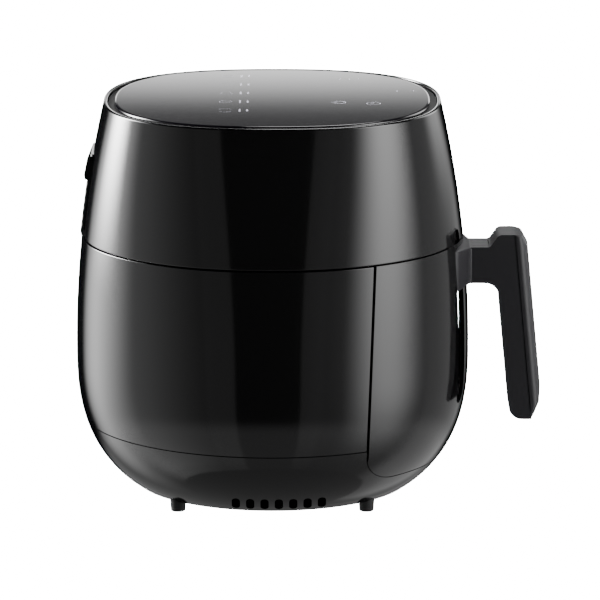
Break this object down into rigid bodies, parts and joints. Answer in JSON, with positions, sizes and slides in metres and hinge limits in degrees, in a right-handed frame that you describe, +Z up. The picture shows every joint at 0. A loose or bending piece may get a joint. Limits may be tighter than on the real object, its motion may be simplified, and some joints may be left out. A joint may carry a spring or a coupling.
{
  "type": "air fryer",
  "caption": "Free-standing air fryer with a rounded body, touch glass top, pull-out drawer with pan and perforated basket, and an upright handle.",
  "frame": {"origin": "middle of the footprint's bounding box, on the floor; the body's own vertical axis stands 26.8 mm behind it, at +Y", "axes": "+Z up, -Y towards the drawer front and the handle, +X to the right seen from the front"},
  "size_m": [0.29, 0.3435, 0.295],
  "materials": {
    "shell_gloss": "high gloss moulded ABS",
    "handle_satin": "satin moulded PP",
    "dark_inner": "fine textured PP",
    "panel_glass": "black back-printed tempered glass",
    "nonstick": "PTFE coated aluminium",
    "sheet_steel": "aluminised sheet steel",
    "heater_steel": "heat-tinted stainless tube",
    "fan_aluminium": "pressed aluminium",
    "zinc_steel": "zinc plated steel",
    "motor_steel": "lacquered steel",
    "board_green": "solder mask over glass-fibre board",
    "component_dark": "moulded epoxy",
    "foot_rubber": "moulded rubber"
  },
  "bodies": {
    "housing": {"upper_housing": "shell_gloss", "lower_housing": "shell_gloss", "base_cover": "shell_gloss", "glass_panel": "panel_glass", "top_bezel": "dark_inner", "outlet_cover": "shell_gloss", "notch_liner": "dark_inner", "base_screws": "zinc_steel", "motor_screws": "zinc_steel", "drawer_bay": "dark_inner", "bay_ceiling": "dark_inner", "left_rail": "dark_inner", "right_rail": "dark_inner", "air_duct": "dark_inner", "cord_gland": "foot_rubber", "board_frame": "dark_inner", "touch_board": "board_green", "power_board": "board_green", "board_components": "component_dark", "board_spacers": "zinc_steel", "chamber_liner": "sheet_steel", "heat_shield": "sheet_steel", "support_plate": "sheet_steel", "guard_grille": "zinc_steel", "heating_element": "heater_steel", "motor": "motor_steel", "thermal_cutout": "component_dark", "temperature_probe": "zinc_steel", "drawer_sensor": "component_dark", "foot_front_left": "foot_rubber", "foot_front_right": "foot_rubber", "foot_rear_left": "foot_rubber", "foot_rear_right": "foot_rubber"},
    "drawer": {"drawer_front": "shell_gloss", "recess_tray": "dark_inner", "drawer_liner": "dark_inner", "pan": "nonstick", "basket": "nonstick", "basket_strap": "sheet_steel", "strap_rivets": "zinc_steel", "pan_brackets": "dark_inner", "handle_grip": "handle_satin", "handle_front": "handle_satin", "latch_pin": "zinc_steel", "button_springs": "zinc_steel", "handle_screws": "zinc_steel", "sensor_magnet": "zinc_steel"},
    "button": {"release_button": "handle_satin"},
    "latch": {"latch_lever": "component_dark"},
    "rotor": {"motor_shaft": "zinc_steel", "hot_fan": "fan_aluminium", "cooling_fan": "fan_aluminium", "fan_nut": "zinc_steel"}
  },
  "joints": [
    {"name": "drawer_slide", "type": "slide", "parent": "housing", "child": "drawer", "axis": [0, -1, 0], "range_m": [0, 0.24]},
    {"name": "button_press", "type": "slide", "parent": "drawer", "child": "button", "axis": [0, 0, -1], "range_m": [0, 0.003], "stiffness_N_per_m": 500, "springref_m": -0.001, "deforming": ["button_springs"]},
    {"name": "latch_rock", "type": "hinge", "parent": "drawer", "child": "latch", "pos_m": [0, -0.1132, 0.17], "axis": [1, 0, 0], "range_deg": [0, 12.4]},
    {"name": "rotor_spin", "type": "hinge", "parent": "housing", "child": "rotor", "pos_m": [0, 0.0268, 0.23], "axis": [0, 0, 1], "continuous": true}
  ],
  "couplings": [
    {"joint": "latch_rock", "follows": "button_press", "rad_per_m": 71.429}
  ]
}
